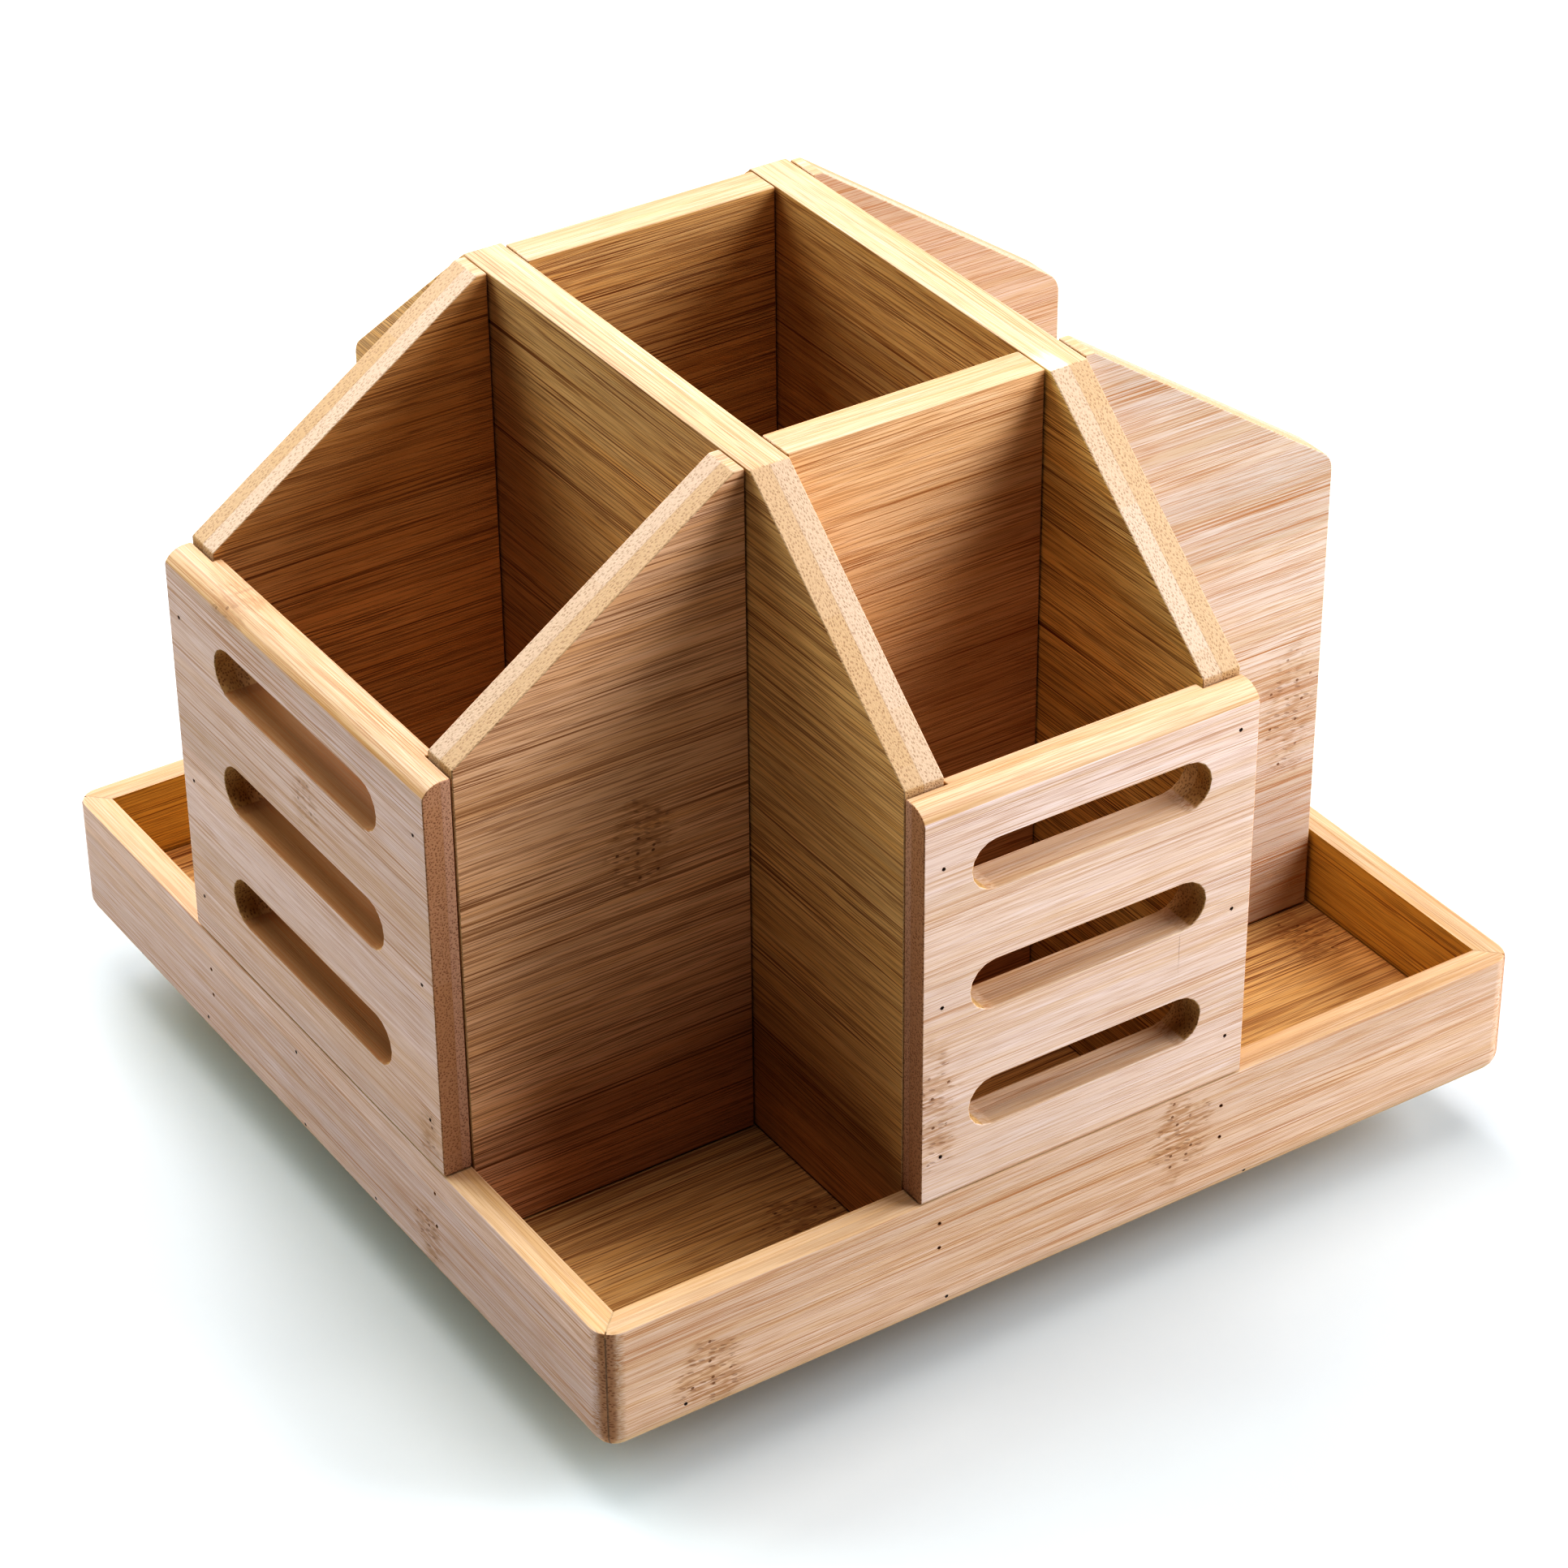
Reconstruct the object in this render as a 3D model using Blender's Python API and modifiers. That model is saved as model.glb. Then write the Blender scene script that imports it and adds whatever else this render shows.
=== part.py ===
"""Rotating desk organizer in bamboo.

A shallow mitred tray turns on a swivel bearing over a round base. Two long panels, two cross panels
and four wings split it into a middle compartment, four bays and four low corners. Slotted plates
close the front and left bays. The back and right ones are open above the tray's rail.

Metres, +Z up. The origin is on the desk, on the spin axis. -Y is the front and -X the left.
"""

import math

import bmesh
import bpy
from mathutils import Matrix, Vector

MM = 0.001
GAP = 0.3 * MM  # left between pieces that touch

# The swivel base, from the desk up
DISC_RADIUS = 75 * MM
DISC_BOTTOM, DISC_TOP = 2.0 * MM, 8.5 * MM
FOOT_RADIUS, FOOT_HEIGHT, FOOT_CIRCLE = 6.0 * MM, 2.7 * MM, 62 * MM
RACE_HEIGHT = 12.0 * MM  # centre of the balls
RACE_RADIUS, BALL_RADIUS, BALLS = 30.5 * MM, 2.0 * MM, 8
RACE_GAP = 0.8 * MM  # from the middle of the balls to the raised ring on either side
RING_SIDE, RETAINER_SIDE = 4.5 * MM, 3.4 * MM  # half the width of a raised ring and of the retainer
SHEET = 1.2 * MM  # thickness of both bearing plates
PLATE_SIDE, PLATE_CORNER = 76 * MM, 5 * MM
SCREW_CIRCLE, SCREW_RADIUS, SCREW_HEAD_RADIUS = 43.8 * MM, 1.75 * MM, 3.2 * MM
LOWER_SCREW_TIP, UPPER_SCREW_TIP = 4.0 * MM, 22.0 * MM
RIVET_RADIUS, RIVET_BORE, RIVET_FLANGE = 6.0 * MM, 4.2 * MM, 9.5 * MM
RIVET_POCKET = 10.0 * MM  # radius of the room for its flanges in the disc and the floor

# The tray
TRAY_HALF = 101.5 * MM
RAIL_BOTTOM = 15.0 * MM
RAIL_HEIGHT, RAIL_THICK = 27.0 * MM, 5.7 * MM
RAIL_ROUND, RAIL_EASE = 4.5 * MM, 0.8 * MM
RAIL_TOP = RAIL_BOTTOM + RAIL_HEIGHT
FLOOR_TOP = RAIL_TOP - 16.5 * MM
FLOOR_BOTTOM = RAIL_BOTTOM + 0.5 * MM

# The rack. The long panels run front to back, the wings and cross panels left to right.
PANEL_THICK = 8.2 * MM
LONG_OUTER = 35.6 * MM  # from the middle to a long panel's outer face
CROSS_OUTER = 47.6 * MM  # from the middle to a wing's or cross panel's outer face
PANEL_TOP = RAIL_TOP + 124.4 * MM
LONG_FLAT = CROSS_OUTER + 1.0 * MM  # where a long panel's slope starts
WING_FLAT = LONG_OUTER + 2.4 * MM  # where a wing's slope starts
PANEL_END = TRAY_HALF - RAIL_THICK - GAP
FREE_END = 94.6 * MM  # where the panels of the two open bays end
FREE_ROUND = 5.0 * MM  # the top corner of those ends

# The slotted plates, whose outer faces are flush with the tray's
SLOTTED_THICK = 7.5 * MM
SLOTTED_BOTTOM = RAIL_TOP + GAP
SLOTTED_TOP = RAIL_TOP + 83.3 * MM
BROW_RADIUS = 4.6 * MM  # of the curve along its top, which meets the face at an edge
BROW_REACH = 4.1 * MM  # how far in from the face the curve starts
SLOT_HEIGHT = 10.2 * MM
SLOT_MIDDLES = [RAIL_TOP + (17.2 + 25.3 * row) * MM for row in range(3)]
PANEL_END_TOP = SLOTTED_TOP + 1.3 * MM  # a panel's end stands this proud of the plate
FRONT_SLOT_HALF, SIDE_SLOT_HALF = 25.4 * MM, 30.0 * MM

# Brads hold each covered panel end to its plate and rail. They were set by hand, so each end's
# heights differ. They are counted from the rail's top.
BRAD_RADIUS, BRAD_LENGTH, BRAD_SUNK = 0.32 * MM, 18 * MM, 0.5 * MM
BRAD_GAP = 0.1 * MM  # round a brad, which fits its hole closely
BRAD_HEIGHTS = {
    "front_left": [-11.2, -5.7, 9.3, 41.7, 70.7],
    "front_right": [-13.4, -6.2, 9.8, 38.0, 76.0],
    "left_front": [-13.7, -6.2, 10.5, 40.1, 71.6],
    "left_back": [-14.5, -8.5, 8.7, 35.1, 71.0],
}

BAMBOO, BAMBOO_DARK = (0.72, 0.52, 0.32), (0.60, 0.40, 0.22)
STEEL, RUBBER = (0.62, 0.62, 0.60), (0.05, 0.05, 0.05)

# Where an outline's own x, y and z go: its plane, then its thickness
FACING_FRONT = Matrix(((1, 0, 0), (0, 0, -1), (0, 1, 0))).to_4x4()
FACING_SIDE = Matrix(((0, 0, 1), (1, 0, 0), (0, 1, 0))).to_4x4()
LYING = Matrix.Identity(4)

for old in list(bpy.data.objects):
    bpy.data.objects.remove(old, do_unlink=True)
parts = bpy.data.collections.new("desk_organizer")
cutters = bpy.data.collections.new("cutters")
cutters.hide_render = True
for collection in (parts, cutters):
    bpy.context.scene.collection.children.link(collection)


def add(name, mesh, collection=None, matrix=None):
    obj = bpy.data.objects.new(name, mesh)
    (collection or parts).objects.link(obj)
    obj.matrix_world = matrix or Matrix.Identity(4)
    return obj


def add_cutter(name, mesh):
    obj = add(name, mesh, cutters)
    obj.hide_render = True
    obj.display_type = "WIRE"
    return obj


def finish(obj, colour, roughness, metallic=0.0):
    material = bpy.data.materials.new(obj.name)
    material.use_nodes = True
    shader = material.node_tree.nodes["Principled BSDF"]
    shader.inputs["Base Color"].default_value = (*colour, 1)
    shader.inputs["Roughness"].default_value = roughness
    shader.inputs["Metallic"].default_value = metallic
    material.diffuse_color = (*colour, 1)
    obj.data.materials.clear()
    obj.data.materials.append(material)
    return obj


def baked(obj):
    """The object's mesh with its modifiers and place applied. The object goes."""
    bpy.context.view_layer.update()
    evaluated = obj.evaluated_get(bpy.context.evaluated_depsgraph_get())
    mesh = bpy.data.meshes.new_from_object(evaluated)
    mesh.transform(obj.matrix_world)
    bpy.data.objects.remove(obj, do_unlink=True)
    return cleaned(mesh)


def cleaned(mesh):
    shape = bmesh.new()
    shape.from_mesh(mesh)
    bmesh.ops.remove_doubles(shape, verts=shape.verts, dist=1e-7)
    bmesh.ops.recalc_face_normals(shape, faces=shape.faces)
    shape.to_mesh(mesh)
    shape.free()
    return mesh


def joined(meshes):
    """Separate closed meshes as one, for a cutter with many teeth."""
    shape = bmesh.new()
    for mesh in meshes:
        shape.from_mesh(mesh)
    whole = bpy.data.meshes.new("joined")
    shape.to_mesh(whole)
    shape.free()
    return whole


def box(low, high):
    shape = bmesh.new()
    bmesh.ops.create_cube(shape, size=1)
    low, high = Vector(low), Vector(high)
    bmesh.ops.scale(shape, vec=high - low, verts=shape.verts)
    bmesh.ops.translate(shape, vec=(low + high) / 2, verts=shape.verts)
    mesh = bpy.data.meshes.new("box")
    shape.to_mesh(mesh)
    shape.free()
    return mesh


def rod(start, end, radius, sides=32):
    """A closed cylinder between two points."""
    start, end = Vector(start), Vector(end)
    turn = (end - start).to_track_quat("Z", "Y").to_matrix().to_4x4()
    place = Matrix.Translation((start + end) / 2) @ turn
    shape = bmesh.new()
    bmesh.ops.create_cone(
        shape, cap_ends=True, segments=sides, radius1=radius, radius2=radius,
        depth=(end - start).length, matrix=place,
    )
    mesh = bpy.data.meshes.new("rod")
    shape.to_mesh(mesh)
    shape.free()
    return mesh


def slab(points, thickness, facing, centre):
    """A flat outline with a thickness, turned to face one way and centred in its thickness."""
    curve = bpy.data.curves.new("outline", "CURVE")
    curve.dimensions = "2D"
    curve.fill_mode = "BOTH"
    curve.extrude = thickness / 2
    line = curve.splines.new("POLY")
    line.points.add(len(points) - 1)
    for point, (x, y) in zip(line.points, points):
        point.co = (x, y, 0, 1)
    line.use_cyclic_u = True
    obj = add("outline", curve, cutters, Matrix.Translation(centre) @ facing)
    return baked(obj)


def turned(profile, steps=48):
    """A closed profile of (radius, height) turned about Z."""
    mesh = bpy.data.meshes.new("profile")
    edges = [(i, (i + 1) % len(profile)) for i in range(len(profile))]
    on_axis = {i for i, (radius, _) in enumerate(profile) if radius == 0}
    edges = [edge for edge in edges if not on_axis.issuperset(edge)]
    mesh.from_pydata([(radius, 0, height) for radius, height in profile], edges, [])
    obj = add("turned", mesh, cutters)
    screw = obj.modifiers.new("Screw", "SCREW")
    screw.steps = screw.render_steps = steps
    screw.use_merge_vertices = True
    screw.merge_threshold = 1e-6
    return baked(obj)


def cut(mesh, tool, operation="DIFFERENCE"):
    """The mesh after one Boolean with the tool mesh."""
    target = add("target", mesh, cutters)
    helper = add_cutter("tool", tool)
    boolean = target.modifiers.new("Boolean", "BOOLEAN")
    boolean.operation = operation
    boolean.solver = "EXACT"
    boolean.object = helper
    result = baked(target)
    bpy.data.objects.remove(helper, do_unlink=True)
    return result


def arc(centre, radius, start, end, steps):
    """Points on an arc, angles in degrees."""
    angles = [math.radians(start + (end - start) * i / steps) for i in range(steps + 1)]
    return [(centre[0] + radius * math.cos(a), centre[1] + radius * math.sin(a)) for a in angles]


def rounded(before, corner, after, radius, steps):
    """Points that round the corner of an outline between its neighbours."""
    corner = Vector(corner)
    back, on = (Vector(before) - corner).normalized(), (Vector(after) - corner).normalized()
    half = back.angle(on) / 2
    centre = corner + (back + on).normalized() * radius / math.sin(half)
    ends = [corner + way * radius / math.tan(half) - centre for way in (back, on)]
    start, end = (math.degrees(math.atan2(v.y, v.x)) for v in ends)
    end += 360 * round((start - end) / 360)
    return arc(centre, radius, start, end, steps)


def quarter_turn(times):
    return Matrix.Rotation(math.radians(90 * times), 4, "Z")


def copy_of(mesh, matrix):
    other = mesh.copy()
    other.transform(matrix)
    return other


# ---------------------------------------------------------------- the swivel base


def foot_places():
    return [quarter_turn(i + 0.5) @ Vector((FOOT_CIRCLE, 0, 0)) for i in range(4)]


def lower_screw_places():
    return [quarter_turn(i + 0.5) @ Vector((SCREW_CIRCLE, 0, 0)) for i in range(4)]


def upper_screw_places():
    return [quarter_turn(i) @ Vector((SCREW_CIRCLE, 0, 0)) for i in range(4)]


def up(height):
    return Vector((0, 0, height))


def base_disc():
    ease = 1.5 * MM
    outer = arc((DISC_RADIUS - ease, DISC_BOTTOM + ease), ease, -90, 0, 3)
    outer += arc((DISC_RADIUS - ease, DISC_TOP - ease), ease, 0, 90, 3)
    disc = turned([(0, DISC_BOTTOM), *outer, (0, DISC_TOP)], steps=72)
    holes = [rod(up(0), up(DISC_TOP + MM), RIVET_POCKET)]
    for place in foot_places():
        holes.append(rod(place, place + up(FOOT_HEIGHT + GAP), FOOT_RADIUS + GAP))
    for place in lower_screw_places():
        tip = place + up(LOWER_SCREW_TIP - GAP)
        holes.append(rod(tip, place + up(DISC_TOP + MM), SCREW_RADIUS + GAP, 16))
    finish(add("base_disc", cut(disc, joined(holes))), BAMBOO_DARK, 0.55)


def feet():
    ease = 0.5 * MM
    side = arc((FOOT_RADIUS - ease, ease), ease, -90, 0, 2) + [(FOOT_RADIUS, FOOT_HEIGHT)]
    shape = turned([(0, 0), *side, (0, FOOT_HEIGHT)], steps=24)
    for i, place in enumerate(foot_places(), 1):
        foot = add(f"foot_{i}", copy_of(shape, Matrix.Translation(place)))
        finish(foot, RUBBER, 0.85)


def bearing_plate(outer_side, race_side, turn):
    """A square sheet with a raised ring that holds a ball groove. The heights are of its two sides."""
    facing = 1 if race_side > outer_side else -1
    sheet = [outer_side, outer_side + facing * SHEET]
    plate = bmesh.new()
    bmesh.ops.create_cube(plate, size=1)
    bmesh.ops.scale(plate, vec=(PLATE_SIDE, PLATE_SIDE, SHEET), verts=plate.verts)
    bmesh.ops.translate(plate, vec=(0, 0, sum(sheet) / 2), verts=plate.verts)
    uprights = [e for e in plate.edges if abs(e.verts[0].co.x - e.verts[1].co.x) < GAP
                and abs(e.verts[0].co.y - e.verts[1].co.y) < GAP]
    bmesh.ops.bevel(plate, geom=uprights, offset=PLATE_CORNER, segments=4, profile=0.5, affect="EDGES")
    mesh = bpy.data.meshes.new("sheet")
    plate.to_mesh(mesh)
    plate.free()

    inner, outer = RACE_RADIUS - RING_SIDE, RACE_RADIUS + RING_SIDE
    groove = BALL_RADIUS + GAP
    spread = math.degrees(math.acos(RACE_GAP / groove))
    low = -90 * facing
    rim = arc((RACE_RADIUS, RACE_HEIGHT), groove, low + facing * spread, low - facing * spread, 4)
    root = sum(sheet) / 2
    ring = turned([(inner, root), (outer, root), (outer, race_side), *rim, (inner, race_side)])
    mesh = cut(mesh, ring, "UNION")

    near, far = sorted((outer_side - facing * MM, race_side + facing * MM))
    holes = [rod(up(near), up(far), RIVET_RADIUS + GAP)]
    for place in lower_screw_places():
        holes.append(rod(place + up(near), place + up(far), SCREW_RADIUS + GAP, 16))
    mesh = cut(mesh, joined(holes))
    mesh.transform(turn)
    return mesh


def bearing():
    lower_bottom = DISC_TOP + GAP
    upper_top = FLOOR_BOTTOM - GAP
    lower = bearing_plate(lower_bottom, RACE_HEIGHT - RACE_GAP, Matrix.Identity(4))
    upper = bearing_plate(upper_top, RACE_HEIGHT + RACE_GAP, quarter_turn(0.5))
    finish(add("lower_bearing_plate", lower), STEEL, 0.35, 1)
    finish(add("upper_bearing_plate", upper), STEEL, 0.35, 1)

    inner, outer = RACE_RADIUS - RETAINER_SIDE, RACE_RADIUS + RETAINER_SIDE
    low, high = RACE_HEIGHT - 0.3 * MM, RACE_HEIGHT + 0.3 * MM
    ring = turned([(inner, low), (outer, low), (outer, high), (inner, high)])
    places = [quarter_turn(4 * i / BALLS) @ Vector((RACE_RADIUS, 0, RACE_HEIGHT)) for i in range(BALLS)]
    holes = [rod(p - up(MM), p + up(MM), BALL_RADIUS + GAP, 16) for p in places]
    finish(add("ball_retainer", cut(ring, joined(holes))), STEEL, 0.45, 1)
    for i, place in enumerate(places, 1):
        ball = bmesh.new()
        bmesh.ops.create_uvsphere(ball, u_segments=12, v_segments=8, radius=BALL_RADIUS)
        bmesh.ops.translate(ball, vec=place, verts=ball.verts)
        mesh = bpy.data.meshes.new("ball")
        ball.to_mesh(mesh)
        ball.free()
        finish(add(f"ball_{i}", mesh), STEEL, 0.2, 1)


def rivet():
    """The hollow rivet that holds the two bearing plates together, fixed in the lower one."""
    flange = 1.2 * MM
    low, high = DISC_TOP - flange, FLOOR_BOTTOM + flange
    profile = [
        (RIVET_BORE, low), (RIVET_FLANGE, low), (RIVET_FLANGE, DISC_TOP), (RIVET_RADIUS, DISC_TOP),
        (RIVET_RADIUS, FLOOR_BOTTOM), (RIVET_FLANGE, FLOOR_BOTTOM), (RIVET_FLANGE, high),
        (RIVET_BORE, high),
    ]
    finish(add("centre_rivet", turned(profile, 40)), STEEL, 0.3, 1)


def screws():
    head, point = 1.1 * MM, 1.5 * MM
    lower_seat = DISC_TOP + GAP + SHEET + GAP
    upper_seat = FLOOR_BOTTOM - GAP - SHEET - GAP
    sets = (
        ("lower_screw", lower_screw_places(), lower_seat, 1, LOWER_SCREW_TIP),
        ("upper_screw", upper_screw_places(), upper_seat, -1, UPPER_SCREW_TIP),
    )
    for name, places, seat, out, tip in sets:
        profile = [
            (0, seat + out * head), (SCREW_HEAD_RADIUS * 0.7, seat + out * head),
            (SCREW_HEAD_RADIUS, seat + out * head * 0.5), (SCREW_HEAD_RADIUS, seat),
            (SCREW_RADIUS, seat), (SCREW_RADIUS, tip + out * point), (0, tip),
        ]
        shape = turned(profile, 16)
        for i, place in enumerate(places, 1):
            screw = add(f"{name}_{i}", copy_of(shape, Matrix.Translation(place)))
            finish(screw, STEEL, 0.3, 1)


# ---------------------------------------------------------------- the tray


def rails():
    """A block with rounded corners and foot is hollowed, then split along its mitres into four."""
    shape = bmesh.new()
    bmesh.ops.create_cube(shape, size=1)
    size = Vector((2 * TRAY_HALF, 2 * TRAY_HALF, RAIL_HEIGHT))
    bmesh.ops.scale(shape, vec=size, verts=shape.verts)
    bmesh.ops.translate(shape, vec=up((RAIL_BOTTOM + RAIL_TOP) / 2), verts=shape.verts)
    rounded = [e for e in shape.edges if min(v.co.z for v in e.verts) < RAIL_TOP - GAP]
    bmesh.ops.bevel(shape, geom=rounded, offset=RAIL_ROUND, segments=6, profile=0.5, affect="EDGES")
    brim = [e for e in shape.edges if min(v.co.z for v in e.verts) > RAIL_TOP - GAP]
    bmesh.ops.bevel(shape, geom=brim, offset=RAIL_EASE, segments=2, profile=0.5, affect="EDGES")
    block = bpy.data.meshes.new("block")
    shape.to_mesh(block)
    shape.free()

    inside = TRAY_HALF - RAIL_THICK
    hollow = box((-inside, -inside, 0), (inside, inside, RAIL_TOP + MM))
    frame = cut(block, hollow)
    far, lead = 2 * TRAY_HALF, GAP / math.sqrt(2)
    wedge = [(0, -lead), (-far, -far - lead), (far, -far - lead)]
    front = cut(frame, slab(wedge, 4 * RAIL_HEIGHT, LYING, up(RAIL_TOP)), "INTERSECT")
    for i, side in enumerate(("front", "right", "back", "left")):
        rail = copy_of(front, quarter_turn(i))
        if side in ("front", "left"):
            rail = cut(rail, joined(drills(side)))
        finish(add(f"{side}_rail", rail), BAMBOO, 0.5)


def tray_floor():
    inside = TRAY_HALF - RAIL_THICK - GAP
    floor = box((-inside, -inside, FLOOR_BOTTOM), (inside, inside, FLOOR_TOP))
    below = FLOOR_BOTTOM - MM
    holes = [rod(up(below), up(FLOOR_BOTTOM + 2 * MM), RIVET_POCKET)]
    for place in upper_screw_places():
        tip = place + up(UPPER_SCREW_TIP + GAP)
        holes.append(rod(place + up(below), tip, SCREW_RADIUS + GAP, 16))
    finish(add("tray_floor", cut(floor, joined(holes))), BAMBOO_DARK, 0.55)


# ---------------------------------------------------------------- the rack


def covered_ends():
    """Each panel end behind a plate: its side, place along it, outer face, way in and brad heights."""
    long_middle = LONG_OUTER - PANEL_THICK / 2
    wing_middle = CROSS_OUTER - PANEL_THICK / 2
    front, left = Vector((0, -TRAY_HALF, 0)), Vector((-TRAY_HALF, 0, 0))
    ends = []
    for way, name in ((-1, "front_left"), (1, "front_right")):
        across = Vector((way * long_middle, 0, 0))
        ends.append(("front", across, front, Vector((0, 1, 0)), BRAD_HEIGHTS[name]))
    for way, name in ((-1, "left_front"), (1, "left_back")):
        across = Vector((0, way * wing_middle, 0))
        ends.append(("left", across, left, Vector((1, 0, 0)), BRAD_HEIGHTS[name]))
    return ends


def drills(side, near=None):
    """The drill rods of one plate and its rail, or only those near one place along it."""
    out, depth = 2 * MM, BRAD_LENGTH + BRAD_SUNK + GAP
    rods = []
    for end_side, across, outer, inward, heights in covered_ends():
        if end_side == side and (near is None or (across - near).length < PANEL_THICK):
            for height in heights:
                face = across + outer + up(RAIL_TOP + height * MM)
                rods.append(rod(face - inward * out, face + inward * depth, BRAD_RADIUS + BRAD_GAP, 8))
    return rods


def free_end(slope_start):
    """The outline of a panel's open end: up its rounded corner, from its foot to the slope's top."""
    x, z = slope_start
    fall = (z - PANEL_END_TOP) / (PANEL_END - x)
    foot, corner = (FREE_END, FLOOR_TOP + GAP), (FREE_END, z - (FREE_END - x) * fall)
    return [foot, *rounded(foot, corner, slope_start, FREE_ROUND, 6), slope_start]


def covered_end(slope_start):
    """The same for an end behind a plate, which is cut off square."""
    return [(PANEL_END, FLOOR_TOP + GAP), (PANEL_END, PANEL_END_TOP), slope_start]


def long_panels():
    slope_start = (LONG_FLAT, PANEL_TOP)
    outline = free_end(slope_start)
    outline += [(-y, z) for y, z in reversed(covered_end(slope_start))]
    for way, side in ((-1, "left"), (1, "right")):
        middle = Vector((way * (LONG_OUTER - PANEL_THICK / 2), 0, 0))
        panel = slab(outline, PANEL_THICK, FACING_SIDE, middle)
        panel = cut(panel, joined(drills("front", middle)))
        finish(add(f"{side}_long_panel", panel), BAMBOO, 0.5)


def cross_panels():
    reach = LONG_OUTER - PANEL_THICK - GAP
    for way, side in ((-1, "front"), (1, "back")):
        near, far = sorted((way * CROSS_OUTER, way * (CROSS_OUTER - PANEL_THICK)))
        panel = box((-reach, near, FLOOR_TOP + GAP), (reach, far, PANEL_TOP))
        finish(add(f"{side}_cross_panel", panel), BAMBOO, 0.5)


def wings():
    root = LONG_OUTER + GAP
    slope_start = (WING_FLAT, PANEL_TOP)
    for way, side, end in ((-1, "left", covered_end), (1, "right", free_end)):
        outline = [(root, FLOOR_TOP + GAP), *end(slope_start), (root, PANEL_TOP)]
        points = [(way * x, z) for x, z in outline]
        for row, place in ((-1, "front"), (1, "back")):
            middle = Vector((0, row * (CROSS_OUTER - PANEL_THICK / 2), 0))
            panel = slab(points, PANEL_THICK, FACING_FRONT, middle)
            if side == "left":
                panel = cut(panel, joined(drills(side, middle)))
            finish(add(f"{side}_{place}_wing", panel), BAMBOO, 0.5)


def slotted_plate(half_length, slot_half, drill_rods):
    """A plate at the front: curved along its top, slotted, and rebated where the panel ends seat."""
    outer, inner = -TRAY_HALF, -TRAY_HALF + SLOTTED_THICK
    edge = 180 - math.degrees(math.acos(BROW_REACH / BROW_RADIUS))
    brow = arc((outer + BROW_REACH, SLOTTED_TOP - BROW_RADIUS), BROW_RADIUS, edge, 90, 6)
    section = [(outer, SLOTTED_BOTTOM), *brow, (inner, SLOTTED_TOP), (inner, SLOTTED_BOTTOM)]
    plate = slab(section, 2 * half_length, FACING_SIDE, (0, 0, 0))

    tools = list(drill_rods)
    end = SLOT_HEIGHT / 2
    for middle in SLOT_MIDDLES:
        straight = slot_half - end
        slot = arc((straight, middle), end, -90, 90, 8) + arc((-straight, middle), end, 90, 270, 8)
        tools.append(slab(slot, 4 * SLOTTED_THICK, FACING_FRONT, (0, outer, 0)))
    plate = cut(plate, joined(tools))
    seat = half_length - PANEL_THICK - GAP
    seats = []
    for way in (-1, 1):
        near, far = sorted((way * seat, way * (half_length + MM)))
        low = (near, outer + RAIL_THICK, SLOTTED_BOTTOM - MM)
        seats.append(box(low, (far, inner + MM, SLOTTED_TOP + MM)))
    return cut(plate, joined(seats))


def slotted_plates():
    front = slotted_plate(LONG_OUTER, FRONT_SLOT_HALF, drills("front"))
    finish(add("front_slotted_plate", front), BAMBOO, 0.5)
    turned_in = [copy_of(drill, quarter_turn(1)) for drill in drills("left")]
    left = slotted_plate(CROSS_OUTER, SIDE_SLOT_HALF, turned_in)
    finish(add("left_slotted_plate", copy_of(left, quarter_turn(-1))), BAMBOO, 0.5)


def brads():
    count = 0
    for _, across, outer, inward, heights in covered_ends():
        for height in heights:
            count += 1
            head = across + outer + up(RAIL_TOP + height * MM) + inward * BRAD_SUNK
            brad = add(f"brad_{count}", rod(head, head + inward * BRAD_LENGTH, BRAD_RADIUS, 8))
            finish(brad, STEEL, 0.4, 1)


base_disc()
feet()
bearing()
rivet()
screws()
rails()
tray_floor()
long_panels()
cross_panels()
wings()
slotted_plates()
brads()
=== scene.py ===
"""Looks of the rotating bamboo desk organizer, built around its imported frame. Metres, +Z up."""

import math

import bmesh
import bpy
from mathutils import Matrix, Vector


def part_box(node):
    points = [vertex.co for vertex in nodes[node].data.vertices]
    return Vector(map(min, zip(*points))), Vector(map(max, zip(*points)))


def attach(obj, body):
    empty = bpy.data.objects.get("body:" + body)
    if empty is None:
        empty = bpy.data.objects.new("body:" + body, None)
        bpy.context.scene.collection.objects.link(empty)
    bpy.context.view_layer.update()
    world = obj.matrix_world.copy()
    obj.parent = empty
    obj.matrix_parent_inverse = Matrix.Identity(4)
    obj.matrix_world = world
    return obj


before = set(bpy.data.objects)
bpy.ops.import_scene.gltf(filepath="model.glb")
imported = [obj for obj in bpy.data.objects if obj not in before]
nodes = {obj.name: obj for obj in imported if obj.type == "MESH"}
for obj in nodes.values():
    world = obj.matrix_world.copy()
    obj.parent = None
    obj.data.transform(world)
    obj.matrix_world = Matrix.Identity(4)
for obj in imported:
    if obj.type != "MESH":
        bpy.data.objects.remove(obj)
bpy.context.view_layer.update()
MM = 0.001

# Edges
EASED_EDGE, EASED_STEPS = 0.3 * MM, 2
BRAD_CLEAR = 1.6 * MM  # no edge this near a brad's head is eased
WELD_WITHIN, FLAT_WITHIN = 0.002 * MM, math.radians(0.5)  # what counts as one point, and as one plane
SHARP, RAIL_SHARP = math.radians(30), math.radians(32)  # from these angles on, an edge isn't smooth
FACE_WEIGHT = 60  # how much more the large faces count in the shading of an edge

# Glue in the mitres
RAIL_ROUND, RAIL_EASE = 4.5 * MM, 0.8 * MM  # as CAD rounds the rails' lower and upper outer edges
GLUE_SHY, GLUE_HALF = 0.01 * MM, 0.145 * MM  # how far under the surface, and half its thickness
GLUE_STEPS = 8  # along its rounded edge

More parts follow.
